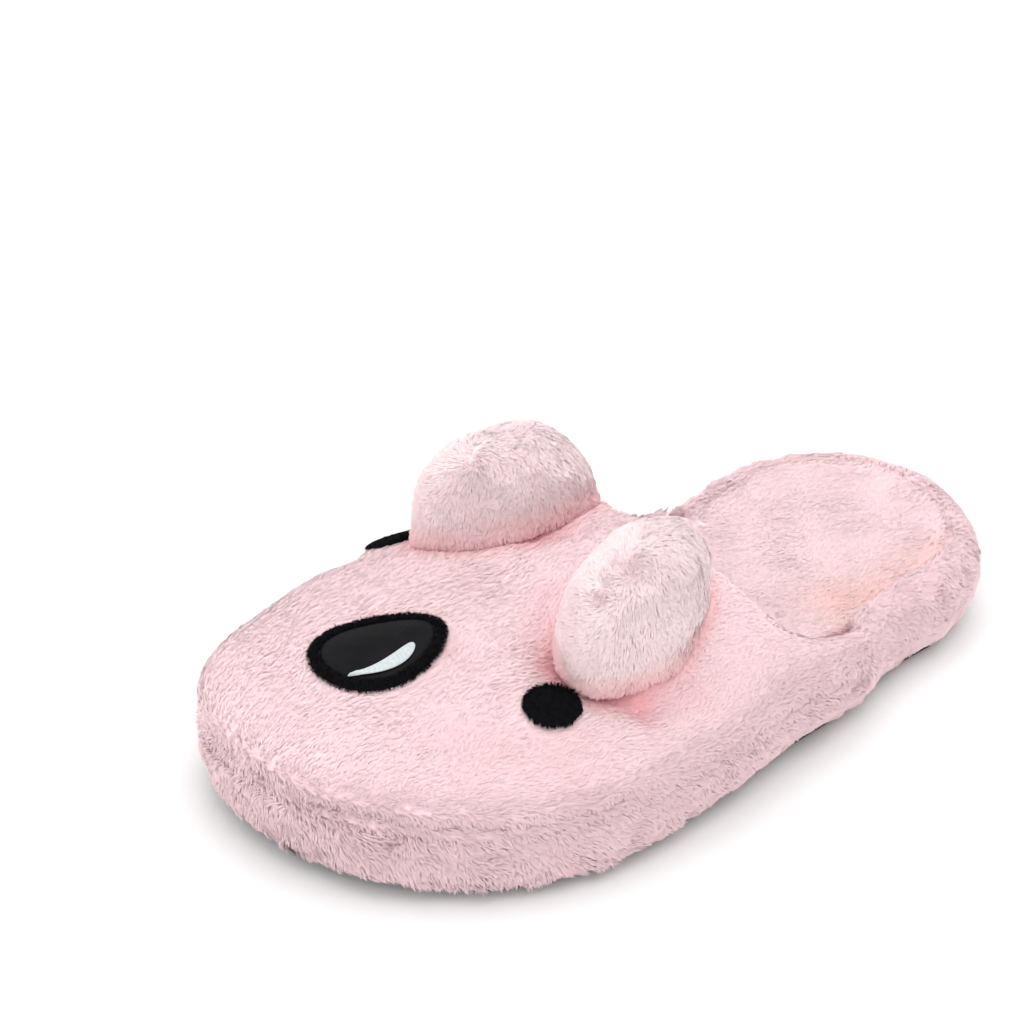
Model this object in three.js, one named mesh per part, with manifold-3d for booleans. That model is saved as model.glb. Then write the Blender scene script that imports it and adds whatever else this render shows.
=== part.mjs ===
// A plush animal slipper for the left foot: a foam sole wrapped in a plush band, a padded
// footbed, a puffy vamp that is open behind, two stuffed ears, a padded nose and two eyes.
// Millimetres. The toe points to -Y, the little toe's side is +X and +Z is up.
// The origin is on the floor under the middle of the slipper.

import * as THREE from 'three';
import { mergeVertices } from 'three/addons/utils/BufferGeometryUtils.js';
import Module from 'manifold-3d';

const wasm = await Module();
wasm.setup();

// Sole and band
const LENGTH = 272; // heel end to toe end, over the band
const BALL_WIDTH = 135; // across the ball of the foot
const HEEL_WIDTH = 97; // across the heel
const OUTSOLE_THICKNESS = 4;
const OUTSOLE_INSET = 6.5; // the outsole's edge, in from the band's edge
const BAND_HEIGHT = 18; // outsole's top to the footbed's seat
const BAND_TUCK = 4; // how far the band's top and bottom curl in from its widest line
const RIM_HEIGHT = 9; // roll of the band round the bare heel, above the footbed's seat
const SEAT_WIDTH = 11.5; // band's edge to the footbed's seat
const INSOLE_THICKNESS = 8; // nearly level with the rim
const FOOTBED_DISH = 1.5; // hollow of the footbed under the heel and ball
const FOOTBED_ROUND = 4; // how far the footbed's rounded edge runs in
const FOOTBED_SLOPE = 18; // how far its hollow takes to reach half its depth
const TOE_SPRING = 4;
const HEEL_ROUNDING = 2; // rise of the sole at the very end of the heel
const ARCH_LIFT = 1.2;

// Upper
const UPPER_WALL = 6; // plush, sponge and lining together
const INSTEP_HEIGHT = 60; // floor to the top of the vamp
const UPPER_BULGE = 0.5; // how far the vamp stands out past the band
const FEATHER_INSET = 3.5; // the vamp's lower edge, in from the band's edge
const TUCK_HEIGHT = 10; // the vamp's lower edge to its widest line
const THROAT_SWELL = 1.8; // thickening of the rolled edge at the throat
const THROAT_ROLL = 9; // how far the thickening runs in from the throat's edge
const SEAT_PROBE = 5; // how far round a sewn piece's middle the slope of the vamp is felt

// Ears
const EAR_LENGTH = 61; // along the foot
const EAR_HEIGHT = 59;
const EAR_DEPTH = 38;
const EAR_TUFT = 1; // height of the tufts of its plush

// Face
const NOSE_LENGTH = 41; // over the stitched border
const NOSE_WIDTH = 31;
const NOSE_PAD = 3.2; // height of the nose's padding
const NOSE_BORDER = 2.6; // width of the stitched border
const BORDER_THICKNESS = 1.8;
const GLINT_LENGTH = 22.5;
const GLINT_WIDTH = 4.2;
const GLINT_THICKNESS = 0.7;
const EYE_LENGTH = 17;
const EYE_WIDTH = 15;
const EYE_THICKNESS = 1.6;

// Pieces that are sewn together lie this far apart
const GAP = 0.3;

// Shares of the length, counted from the heel
const HEEL_POLE = 0.186;
const TOE_POLE = 0.676;
const THROAT_SIDE = 0.31; // where the throat's edge meets the footbed
const THROAT_TOP = 0.482; // where it crosses the top of the vamp

// Half width of the sole. The shares run from half the heel width, 0, to half the ball width, 1.
const OUTLINE = [
  { along: HEEL_POLE, lateral: -0.19, medial: 0.19 },
  { along: 0.32, lateral: 0.32, medial: -0.25 },
  { along: 0.44, lateral: 0.57, medial: -0.09 },
  { along: 0.56, lateral: 0.88, medial: 0.46 },
  { along: TOE_POLE, lateral: 1, medial: 1 },
];

// Height of the vamp's ridge, as a share of the instep height, and its lean to the big toe's
// side, as a share of half the ball width. Under 2 fullness the section is peaked, over 2 square.
const RIDGE = [
  { along: THROAT_TOP, height: 1, lean: 0, fullness: 1.75 },
  { along: 0.59, height: 0.95, lean: 0.03, fullness: 1.95 },
  { along: TOE_POLE, height: 0.89, lean: 0.07, fullness: 2.05 },
];

// Height of the ledge that the upper is sewn to, as a share of the band's height.
const LEDGE = [
  { along: THROAT_SIDE, height: 0.5 },
  { along: 0.42, height: 0.62 },
  { along: 0.53, height: 0.87 },
  { along: TOE_POLE, height: 1 },
];

// Seats of the ears and the face. Across counts from the middle in half ball widths, to the
// little toe's side. Turns are in degrees: long ways point to the heel before they are turned.
const EARS = [
  { name: 'ear_lateral', across: 0.5, along: 0.596, height: 1.03, turn: 18, lean: 10 },
  { name: 'ear_medial', across: -0.6, along: 0.563, height: 0.92, turn: -18, lean: -2 },
];
const EYES = [
  { name: 'eye_lateral', across: 0.62, along: 0.728, turn: 38 },
  { name: 'eye_medial', across: -0.9, along: 0.664, turn: -25 },
];
const NOSE = { across: -0.106, along: 0.8207, turn: 14 };
const NOSE_TAPER = -0.22;
const NOSE_BEND = 0.1; // share of the nose's width
const GLINT = { across: 0.2569, forward: 0.1148, turn: 4 }; // from the nose, in its widths and lengths
const GLINT_TAPER = 0.63;
const GLINT_BEND = 0.77; // share of the glint's width

const TOE_FULLNESS = 2.16; // 2 is an ellipse, more is squarer
const HEEL_FULLNESS = 2.16;
const TOE_SWING = 9.5; // how far the toe's tip leans to the big toe's side
const TUCK_ANGLE = -0.65; // radians below the widest line, at the vamp's lower edge
const TOE_FALL = 0.08; // share of its height that the vamp's top loses towards the toe
const THROAT_START = { lateral: 0.42, medial: 0.32 }; // share of the way up at the vamp's ends
const THROAT_TURN = 0.65; // share of its rise that the throat's edge makes close to the ridge

const THROAT_STEPS = 14;
const SIDE_STEPS = 6;
const TOE_STEPS = 24;
const RIM_STEPS = 4;
const HEEL_STEPS = 16;
const VAMP_STEPS = 13;
const LIP_STEPS = 4;
const EAR_ROWS = 16;
const EAR_COLUMNS = 28;
const FACE_STEPS = 32;

const { lerp, smoothstep } = THREE.MathUtils;

// A smooth curve through one column of a table, level at both ends.
function through(table, column, along) {
  const x = table.map((row) => row.along);
  const y = table.map((row) => row[column]);
  const last = x.length - 1;
  if (along <= x[0]) return y[0];
  if (along >= x[last]) return y[last];
  const slope = (k) => (k === 0 || k === last ? 0 : (y[k + 1] - y[k - 1]) / (x[k + 1] - x[k - 1]));
  const i = x.findIndex((v) => v > along) - 1;
  const step = x[i + 1] - x[i];
  const t = (along - x[i]) / step;
  const curve = (t * t * (3 - 2 * t)) * (y[i + 1] - y[i]) + y[i];
  const lean = t * (1 - t) * step * ((1 - t) * slope(i) - t * slope(i + 1));
  return curve + lean;
}

const yAt = (along) => LENGTH * (0.5 - along);

function halfWidth(along, side) {
  const share = through(OUTLINE, side > 0 ? 'lateral' : 'medial', along);
  return lerp(HEEL_WIDTH / 2, BALL_WIDTH / 2, share);
}

function spineX(along) {
  const lean = through(RIDGE, 'lean', along) * (BALL_WIDTH / 2);
  return (halfWidth(along, 1) - halfWidth(along, -1)) / 2 - lean;
}

// A station has a point on the sole's edge and the point of the spine that its path runs to.
function sideStation(along, side) {
  return {
    along,
    side: side > 0 ? 'lateral' : 'medial',
    edge: new THREE.Vector2(side * halfWidth(along, side), yAt(along)),
    spine: new THREE.Vector2(spineX(along), yAt(along)),
  };
}

// Stations of a round end fan out from its pole. The angle runs from 0, lateral, to PI, medial.
function endStation(pole, end, fullness, swing, angle) {
  const side = Math.cos(angle) >= 0 ? 1 : -1;
  const across = Math.abs(Math.cos(angle)) ** (2 / fullness);
  const forward = Math.abs(Math.sin(angle)) ** (2 / fullness);
  const x = lerp(spineX(pole), side * halfWidth(pole, side), across) - swing * forward ** 2;
  return {
    along: lerp(pole, end, forward),
    side: side > 0 ? 'lateral' : 'medial',
    edge: new THREE.Vector2(x, yAt(lerp(pole, end, forward))),
    spine: new THREE.Vector2(spineX(pole), yAt(pole)),
  };
}

const steps = (count) => Array.from({ length: count }, (_, i) => i / count);
const sideRun = (from, to, count, side) =>
  steps(count).map((t) => sideStation(lerp(from, to, t), side));
const toeRun = () =>
  steps(TOE_STEPS).map((t) => endStation(TOE_POLE, 1, TOE_FULLNESS, TOE_SWING, Math.PI * (1 - t)));
const heelRun = () =>
  steps(HEEL_STEPS).map((t) => endStation(HEEL_POLE, 0, HEEL_FULLNESS, 0, Math.PI * t));

// Stations beside the throat lie closer together towards its top.
const throatRun = (side) =>
  steps(THROAT_STEPS).map((t) =>
    sideStation(lerp(THROAT_SIDE, THROAT_TOP, 1 - (1 - t) ** 1.7), side));

// Round the vamp, from the medial end of the throat over the toe to the lateral end.
const VAMP_STATIONS = [
  ...throatRun(-1),
  ...sideRun(THROAT_TOP, TOE_POLE, SIDE_STEPS, -1),
  ...toeRun(),
  ...sideRun(TOE_POLE, THROAT_TOP, SIDE_STEPS, 1),
  sideStation(THROAT_TOP, 1),
  ...throatRun(1).reverse(),
];

// The rim round the heel starts just behind the ends of the vamp, with a short slope up to it.
const LEDGE_END = THROAT_SIDE - GAP / LENGTH;
const RIM_START = LEDGE_END - 1 / LENGTH;

// All round the sole, anticlockwise seen from above.
const SOLE_STATIONS = [
  ...VAMP_STATIONS,
  sideStation(LEDGE_END, 1),
  ...sideRun(RIM_START, HEEL_POLE, RIM_STEPS, 1),
  ...heelRun(),
  ...sideRun(HEEL_POLE, RIM_START, RIM_STEPS, -1),
  sideStation(RIM_START, -1),
  sideStation(LEDGE_END, -1),
];

// Rise of the sole's underside above the floor.
function floorLift(y) {
  const along = 0.5 - y / LENGTH;
  const toe = TOE_SPRING * smoothstep(along, 0.8, 1.06);
  const heel = HEEL_ROUNDING * (1 - smoothstep(along, 0, 0.12));
  const arch = ARCH_LIFT * smoothstep(along, 0.26, 0.4) * (1 - smoothstep(along, 0.46, 0.6));
  return toe + heel + arch;
}

// The point at a distance in from a station's edge.
function inward(station, inset) {
  const reach = station.edge.distanceTo(station.spine);
  return station.edge.clone().lerp(station.spine, inset / reach);
}

function lifted(plan, z) {
  return new THREE.Vector3(plan.x, plan.y, z + floorLift(plan.y));
}

// A mesh without doubled vertices or empty triangles.
function tidy(points, triangles) {
  const geometry = new THREE.BufferGeometry().setFromPoints(points);
  geometry.setIndex(triangles);
  const merged = mergeVertices(geometry, 1e-3);
  const index = merged.index.array;
  const kept = [];
  for (let i = 0; i < index.length; i += 3) {
    const [a, b, c] = index.slice(i, i + 3);
    if (a !== b && b !== c && c !== a) kept.push(a, b, c);
  }
  merged.setIndex(kept);
  return merged;
}

function quad(triangles, a, b, c, d) {
  triangles.push(a, b, c, a, c, d);
}

// A closed solid through rings of points. The first and the last ring are shrunk to a line or
// a point, or else the rings close on themselves like a tyre.
function pillow(rings, tyre = false) {
  const count = rings[0].length;
  const triangles = [];
  for (let r = 0; r + (tyre ? 0 : 1) < rings.length; r++) {
    const above = ((r + 1) % rings.length) * count;
    for (let i = 0; i < count; i++) {
      const next = (i + 1) % count;
      quad(triangles, r * count + i, r * count + next, above + next, above + i);
    }
  }
  return tidy(rings.flat(), triangles);
}

const heightOf = (height, station) => (typeof height === 'function' ? height(station) : height);
const ring = (inset, height) =>
  SOLE_STATIONS.map((s) => lifted(inward(s, inset), heightOf(height, s)));
const spineRing = (height) => SOLE_STATIONS.map((s) => lifted(s.spine, height));

const BAND_BOTTOM = OUTSOLE_THICKNESS + GAP;
const SEAT = OUTSOLE_THICKNESS + BAND_HEIGHT;

function outsole() {
  const edge = 1; // round of its two corners
  return pillow([
    spineRing(0),
    ring(OUTSOLE_INSET + edge, 0),
    ring(OUTSOLE_INSET, edge),
    ring(OUTSOLE_INSET, OUTSOLE_THICKNESS - edge),
    ring(OUTSOLE_INSET + edge, OUTSOLE_THICKNESS),
    spineRing(OUTSOLE_THICKNESS),
  ]);
}

const ledge = (along) => OUTSOLE_THICKNESS + BAND_HEIGHT * through(LEDGE, 'height', along);

// Height of the band's top: round the bare heel it rolls up to the rim, further on it is a ledge.
const bandTop = (roll) => (station) =>
  (station.along < LEDGE_END - 1e-6 ? SEAT + RIM_HEIGHT * roll : ledge(station.along));

function midsole() {
  const top = bandTop(0.55);
  const side = [-1, -0.8, -0.4, 0, 0.4, 0.8, 1].map((level) => {
    const inset = BAND_TUCK * (1 - Math.sqrt(1 - 0.96 * level ** 2));
    return ring(inset, (s) => lerp(BAND_BOTTOM, top(s), (level + 1) / 2));
  });
  return pillow([
    spineRing(BAND_BOTTOM),
    ring(OUTSOLE_INSET, BAND_BOTTOM),
    ...side,
    ring(SEAT_WIDTH * 0.45, bandTop(0.9)),
    ring(SEAT_WIDTH * 0.65, bandTop(1)),
    ring(SEAT_WIDTH * 0.85, bandTop(0.92)),
    ring(SEAT_WIDTH, bandTop(0.6)),
    ring(SEAT_WIDTH + 1, SEAT),
    spineRing(SEAT),
  ]);
}

function insole() {
  const inset = SEAT_WIDTH + 1 + GAP;
  const bottom = SEAT + GAP;
  const top = bottom + INSOLE_THICKNESS;
  const hollow = (share) => top - FOOTBED_DISH * smoothstep(share, 0, 1);
  return pillow([
    spineRing(bottom),
    ring(inset + 0.5, bottom),
    ring(inset - 0.6, top - INSOLE_THICKNESS * 0.5),
    ring(inset - 0.6, top - INSOLE_THICKNESS * 0.2),
    ring(inset + 0.8, top - INSOLE_THICKNESS * 0.05),
    ring(inset + FOOTBED_ROUND, top),
    ring(inset + FOOTBED_SLOPE, hollow(0.5)),
    spineRing(hollow(1)),
  ]);
}

// The share of the way up the vamp at which the throat's edge cuts it.
function throatEdge(station) {
  const run = Math.max((station.along - THROAT_SIDE) / (THROAT_TOP - THROAT_SIDE), 0);
  const rise = (1 - THROAT_TURN) * run ** 2 + THROAT_TURN * run ** 6;
  const slope = (1 - THROAT_TURN) * 2 * run + THROAT_TURN * 6 * run ** 5;
  return { share: lerp(THROAT_START[station.side], 1, Math.min(rise, 1)), rise, slope };
}

// How far a point of the vamp is from the throat's edge.
function throatDistance(station, share) {
  const wayUp = INSTEP_HEIGHT * 1.5;
  const edge = throatEdge(station);
  const steepness = (edge.slope * wayUp) / ((THROAT_TOP - THROAT_SIDE) * LENGTH);
  const below = edge.share - share + Math.max(edge.rise - 1, 0);
  return (below * wayUp) / Math.hypot(1, steepness);
}

// A point of the vamp's outer face, moved in by depth. Share 0 is its lower edge, 1 its ridge.
// Low down the lining is padded, so that it lies against the footbed.
function vampPoint(station, share, depth) {
  const angle = lerp(TUCK_ANGLE, Math.PI / 2, share);
  const swell = THROAT_SWELL * Math.exp(-((throatDistance(station, share) / THROAT_ROLL) ** 2));
  const out = swell * smoothstep(share, 0, 0.3) - depth;
  const spread = station.edge.distanceTo(station.spine);
  const radius = spread + UPPER_BULGE + out;
  const feather = ledge(station.along) + GAP;
  const widest = feather + TUCK_HEIGHT;
  const ridge = INSTEP_HEIGHT * through(RIDGE, 'height', Math.min(station.along, TOE_POLE)) + out;
  const tuck = (UPPER_BULGE + FEATHER_INSET) * ((1 - Math.cos(angle)) / (1 - Math.cos(TUCK_ANGLE)));
  const above = angle > 0;
  const level = Math.max(Math.cos(angle), 0);
  const section = through(RIDGE, 'fullness', station.along);
  const padEnd = Math.min(throatEdge(station).share, 0.55);
  const pad = (SEAT_WIDTH - GAP) * (1 - smoothstep(share, 0.55 * padEnd, 0.95 * padEnd));
  const lining = depth > 0 ? spread - pad : Infinity;
  const reach = Math.min(lining, above ? radius * level ** (2 / section) : radius - tuck);
  const rise = above
    ? (ridge - widest) * Math.sin(angle) ** (2 / section)
    : -TUCK_HEIGHT * (Math.sin(angle) / Math.sin(TUCK_ANGLE));
  const heading = station.edge.clone().sub(station.spine).normalize();
  const plan = station.spine.clone().addScaledVector(heading, reach);
  const forward = Math.max(0, (yAt(TOE_POLE) - plan.y) / (yAt(TOE_POLE) - yAt(1)));
  return lifted(plan, widest + rise * (above ? 1 - TOE_FALL * forward : 1));
}

// The outer face of the vamp and its lining, joined by a round lip along the throat. The lip
// leans upwards beside the footbed and straight back at the ridge.
const BACKWARDS = new THREE.Vector3(0, 1, 0);

function upper() {
  const profile = VAMP_STATIONS.map((station) => {
    const end = throatEdge(station).share;
    const start = THROAT_START[station.side];
    const rise = (depth) =>
      Array.from({ length: VAMP_STEPS + 1 }, (_, j) =>
        vampPoint(station, end * (j / VAMP_STEPS), depth));
    const outer = rise(0);
    const inner = rise(UPPER_WALL);
    const a = outer[VAMP_STEPS];
    const b = inner[VAMP_STEPS];
    const middle = a.clone().lerp(b, 0.5);
    const before = vampPoint(station, end - 0.02, UPPER_WALL / 2);
    const upwards = vampPoint(station, end, UPPER_WALL / 2).sub(before).normalize();
    const way = upwards.lerp(BACKWARDS, (end - start) / (1 - start)).normalize();
    const lip = Array.from({ length: LIP_STEPS - 1 }, (_, k) => {
      const turn = (Math.PI * (k + 1)) / LIP_STEPS;
      return middle.clone()
        .addScaledVector(a.clone().sub(middle), Math.cos(turn))
        .addScaledVector(way, (a.distanceTo(b) / 2) * Math.sin(turn));
    });
    return [...outer, ...lip, ...inner.reverse()];
  });
  const count = profile[0].length;
  const triangles = [];
  for (let i = 0; i + 1 < profile.length; i++) {
    const closed = [i, i + 1].every((k) => VAMP_STATIONS[k].along > THROAT_TOP - 1e-6);
    for (let j = 0; j < count; j++) {
      const onLip = j >= VAMP_STEPS && j < VAMP_STEPS + LIP_STEPS;
      if (closed && onLip) continue;
      const up = (j + 1) % count;
      quad(triangles, i * count + j, (i + 1) * count + j, (i + 1) * count + up, i * count + up);
    }
  }
  const last = (profile.length - 1) * count;
  for (let j = 1; j + 1 < count; j++) {
    triangles.push(0, j, j + 1);
    triangles.push(last, last + j + 1, last + j);
  }
  return tidy(profile.flat(), triangles);
}

function solid(geometry) {
  return new wasm.Manifold(new wasm.Mesh({
    numProp: 3,
    vertProperties: geometry.attributes.position.array,
    triVerts: new Uint32Array(geometry.index.array),
  }));
}

// The room that the upper takes, with the gap round it. Pieces that rest on it are cut by it.
// Both sides end on the ridge of the lateral one, as behind the throat they differ a little.
function upperRoom() {
  const rows = steps(VAMP_STEPS).map((share) =>
    SOLE_STATIONS.map((station) => vampPoint(station, share, -GAP)));
  const ridge = SOLE_STATIONS.map((station) => vampPoint({ ...station, side: 'lateral' }, 1, -GAP));
  return solid(pillow([SOLE_STATIONS.map((s) => lifted(s.spine, ledge(s.along))), ...rows, ridge]));
}

const onPlan = (seat) => new THREE.Vector2((seat.across * BALL_WIDTH) / 2, yAt(seat.along));

// A stuffed ball, longer than it is deep, with a tufted face. It leans outwards over the vamp.
function ear(seat, room) {
  const rows = EAR_ROWS;
  const columns = EAR_COLUMNS;
  const rings = Array.from({ length: rows + 1 }, (_, r) => {
    const latitude = Math.PI * (r / rows - 0.5);
    return Array.from({ length: columns }, (_, c) => {
      const longitude = (2 * Math.PI * c) / columns;
      const flat = Math.cos(latitude);
      const tuft = Math.sin(5 * longitude + 4 * latitude) * Math.sin(6 * latitude) * flat;
      return new THREE.Vector3(
        (EAR_DEPTH / 2 + EAR_TUFT * tuft) * flat * Math.cos(longitude),
        (EAR_LENGTH / 2 + EAR_TUFT * tuft) * flat * Math.sin(longitude),
        (EAR_HEIGHT / 2 + EAR_TUFT * tuft) * Math.sin(latitude),
      );
    });
  });
  const plan = onPlan(seat);
  const turned = new THREE.Matrix4()
    .makeTranslation(plan.x, plan.y, seat.height * INSTEP_HEIGHT)
    .multiply(new THREE.Matrix4().makeRotationZ(THREE.MathUtils.degToRad(seat.turn)))
    .multiply(new THREE.Matrix4().makeRotationY(THREE.MathUtils.degToRad(seat.lean)));
  return meshOf(solid(pillow(rings).applyMatrix4(turned)).subtract(room));
}

function meshOf(made) {
  const { numProp, vertProperties, triVerts } = made.getMesh();
  const positions = new Float32Array((vertProperties.length / numProp) * 3);
  for (let i = 0; i < positions.length / 3; i++) {
    positions.set(vertProperties.subarray(i * numProp, i * numProp + 3), i * 3);
  }
  const geometry = new THREE.BufferGeometry();
  geometry.setAttribute('position', new THREE.BufferAttribute(positions, 3));
  geometry.setIndex(Array.from(triVerts));
  return geometry;
}

// The point of a piece's outer face that a ray meets.
function cast(ground, origin, direction) {
  const [hit] = new THREE.Raycaster(origin, direction).intersectObject(ground);
  return hit.point;
}

// The frame of a seat on a piece's outer face: its middle, its long and short way and its normal.
function seatFrame(ground, plan, degrees) {
  const down = new THREE.Vector3(0, 0, -1);
  const corner = (angle, distance) =>
    cast(ground, new THREE.Vector3(
      plan.x + distance * Math.cos(angle),
      plan.y + distance * Math.sin(angle),
      2 * INSTEP_HEIGHT,
    ), down);
  const [a, b, c] = [0, 2, 4].map((third) => corner((third * Math.PI) / 3, SEAT_PROBE));
  const normal = b.clone().sub(a).cross(c.clone().sub(a)).normalize();
  const turn = THREE.MathUtils.degToRad(degrees);
  const long = new THREE.Vector3(Math.sin(turn), Math.cos(turn), 0).projectOnPlane(normal).normalize();
  return { middle: corner(0, 0), long, short: long.clone().cross(normal), normal };
}

// An egg-shaped outline. Taper above zero narrows the end that points to the toe, and bend curves
// its middle to the little toe's side by a share of its width.
const egg = (length, width, taper = 0, bend = 0) => (angle, inset) => {
  const out = Math.cos(angle);
  return new THREE.Vector2(
    (length / 2 - inset) * out,
    (width / 2 - inset) * Math.sin(angle) * (1 + taper * out) + bend * width * (1 - out ** 2),
  );
};

// A padded piece sewn on the ground. Each row of the profile has an inset from the outline and
// a height, from the piece's underside round to its top.
function sewnOn(ground, frame, outline, profile, tyre) {
  const rings = profile.map(({ inset, height }) =>
    steps(FACE_STEPS).map((t) => {
      const { x, y } = outline(-2 * Math.PI * t, inset);
      const above = frame.middle.clone()
        .addScaledVector(frame.long, x)
        .addScaledVector(frame.short, y)
        .addScaledVector(frame.normal, INSTEP_HEIGHT / 4);
      const foot = cast(ground, above, frame.normal.clone().negate());
      return foot.addScaledVector(frame.normal, GAP + height);
    }));
  return pillow(rings, tyre);
}

// A rounded cushion's profile, from the middle of its underside out and up to its crown.
function cushion(width, height) {
  const edge = Math.min(height, width / 4);
  return [
    { inset: width / 2, height: 0 },
    { inset: width / 4, height: 0 },
    { inset: edge * 0.3, height: 0 },
    { inset: 0, height: edge * 0.4 },
    { inset: edge * 0.4, height: height * 0.75 },
    { inset: width / 4, height: height * 0.95 },
    { inset: width / 2, height },
  ];
}

function piece(name, geometry, colour, roughness) {
  const material = new THREE.MeshStandardMaterial({ color: colour, roughness, metalness: 0 });
  const mesh = new THREE.Mesh(geometry, material);
  mesh.name = name;
  return mesh;
}

const BLACK = 0x1d1d1f;
const vamp = piece('upper', upper(), 0xfbd9db, 1);
const slipper = new THREE.Group();
slipper.add(
  piece('outsole', outsole(), 0x2b2b2d, 0.9),
  piece('midsole', midsole(), 0xf3c9ce, 1),
  piece('insole', insole(), 0xfbd6da, 1),
  vamp,
);

const room = upperRoom();
for (const seat of EARS) slipper.add(piece(seat.name, ear(seat, room), 0xf6dcda, 1));

for (const seat of EYES) {
  const outline = egg(EYE_LENGTH, EYE_WIDTH);
  const profile = cushion(EYE_WIDTH, EYE_THICKNESS);
  const frame = seatFrame(vamp, onPlan(seat), seat.turn);
  slipper.add(piece(seat.name, sewnOn(vamp, frame, outline, profile), BLACK, 1));
}

const noseFrame = seatFrame(vamp, onPlan(NOSE), NOSE.turn);
const noseOutline = egg(NOSE_LENGTH, NOSE_WIDTH, NOSE_TAPER, NOSE_BEND);
const border = [
  { inset: NOSE_BORDER, height: 0 },
  { inset: 0.3, height: 0 },
  { inset: 0, height: BORDER_THICKNESS * 0.5 },
  { inset: NOSE_BORDER * 0.3, height: BORDER_THICKNESS },
  { inset: NOSE_BORDER * 0.8, height: BORDER_THICKNESS },
  { inset: NOSE_BORDER, height: BORDER_THICKNESS * 0.7 },
];
slipper.add(piece('nose_border', sewnOn(vamp, noseFrame, noseOutline, border, true), BLACK, 1));

const padInset = NOSE_BORDER + GAP;
const padOutline = (angle, inset) => noseOutline(angle, inset + padInset);
const padProfile = cushion(NOSE_WIDTH - 2 * padInset, NOSE_PAD);
const nose = piece('nose_patch', sewnOn(vamp, noseFrame, padOutline, padProfile), BLACK, 0.45);
slipper.add(nose);

const glintOutline = egg(GLINT_LENGTH, GLINT_WIDTH, GLINT_TAPER, GLINT_BEND);
const glintProfile = cushion(GLINT_WIDTH, GLINT_THICKNESS);
const glintPlan = onPlan(NOSE);
glintPlan.x += GLINT.across * NOSE_WIDTH;
glintPlan.y -= GLINT.forward * NOSE_LENGTH;
const glint = sewnOn(nose, seatFrame(nose, glintPlan, GLINT.turn), glintOutline, glintProfile);
slipper.add(piece('nose_glint', glint, 0xe6edf1, 0.7));

// The origin goes under the middle of the whole slipper.
const middle = new THREE.Box3().setFromObject(slipper).getCenter(new THREE.Vector3());
slipper.position.set(-middle.x, -middle.y, 0);

export default slipper;
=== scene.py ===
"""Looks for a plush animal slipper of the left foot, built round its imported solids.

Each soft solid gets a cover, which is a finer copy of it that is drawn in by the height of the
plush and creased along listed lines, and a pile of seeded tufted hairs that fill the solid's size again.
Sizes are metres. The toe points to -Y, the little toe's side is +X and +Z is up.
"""

import logging
import math
from collections.abc import Callable
from dataclasses import dataclass, field
from enum import Enum

import bmesh
import bpy
import numpy as np
from mathutils import Matrix, Vector
from mathutils.bvhtree import BVHTree
from mathutils.kdtree import KDTree


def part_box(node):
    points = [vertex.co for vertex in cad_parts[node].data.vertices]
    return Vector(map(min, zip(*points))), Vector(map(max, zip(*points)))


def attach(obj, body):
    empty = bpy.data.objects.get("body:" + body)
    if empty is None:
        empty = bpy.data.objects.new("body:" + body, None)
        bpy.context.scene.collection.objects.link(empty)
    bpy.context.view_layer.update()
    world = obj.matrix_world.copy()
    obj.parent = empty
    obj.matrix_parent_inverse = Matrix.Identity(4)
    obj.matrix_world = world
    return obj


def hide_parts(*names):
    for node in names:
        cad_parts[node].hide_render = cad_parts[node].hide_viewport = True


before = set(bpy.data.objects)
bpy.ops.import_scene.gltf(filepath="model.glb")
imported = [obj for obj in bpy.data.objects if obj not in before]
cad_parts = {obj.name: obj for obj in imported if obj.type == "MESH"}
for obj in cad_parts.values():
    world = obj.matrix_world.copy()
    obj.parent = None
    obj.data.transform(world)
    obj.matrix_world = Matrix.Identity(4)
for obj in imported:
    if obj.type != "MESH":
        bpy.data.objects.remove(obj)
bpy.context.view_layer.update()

log = logging.getLogger("slipper")

MM = 0.001
BAKE_MAP = "OFBake"
FACE_NODES = ("nose_border", "nose_patch", "eye_lateral", "eye_medial")

WELD = 0.02 * MM  # vertices closer than this are one
REACH = 12 * MM  # how far off a neighbour still matters to a cover
DEEPEST = 4 * MM  # the most that a cover is drawn in
LOWEST = 0.3 * MM  # how far above the floor hairs stay
ROOTED = 0.2 * MM  # how far under the cover a hair starts
WAVE_SIZE = 34 * MM
LUMP_SIZE = 11 * MM
CREASE_SHADE_DEPTH = 9 * MM  # a crease of this depth would be painted through in crease shade
BESIDE_SHADE_SHARE = 0.6  # painted crease shade of the vamp right beside an ear

# Spans over which a rule comes in
SEATED = (0.8 * MM, 6 * MM)  # from a neighbour, before a cover is drawn in
GROOVE = (1.5 * MM, 6.5 * MM)  # from a joined solid, before the puff beside it is gone
BARE = (0.2 * MM, 1.0 * MM)  # from a neighbour, before hairs grow
LOWER_PART = (20 * MM, 45 * MM)  # above the floor, where the plush is rougher
BOTTOM = (7 * MM, 14 * MM)  # above the floor, where the band hangs over the outsole
TOE_END = (-60 * MM, 20 * MM)  # along Y, before the band is behind the toe
RIM_START = (40 * MM, 70 * MM)  # along Y, before the band has a bare rim
IN_SIGHT = (-30 * MM, 0.0)  # along Y, before the inside is seen
CORE = (-85 * MM, 20 * MM)  # along Y, the line that the vamp's outer face looks from
CORE_HEIGHT = 26 * MM
WING_FADE = (12 * MM, 5 * MM)  # before the ends of the vamp's wings, where the puff goes

Material = bpy.types.Material
Mesh = bpy.types.Mesh
NodeTree = bpy.types.NodeTree
Socket = bpy.types.NodeSocket
Points = np.ndarray
Rule = Callable[[Points, Points], np.ndarray]


def unit(vectors: Points) -> Points:
    """The vectors at length one."""
    return vectors / np.maximum(np.linalg.norm(vectors, axis=-1, keepdims=True), 1e-12)


def ease(values: np.ndarray, low: float, high: float) -> np.ndarray:
    """A smooth step from 0 at low to 1 at high."""
    t = np.clip((values - low) / (high - low), 0, 1)
    return t * t * (3 - 2 * t)


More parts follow.
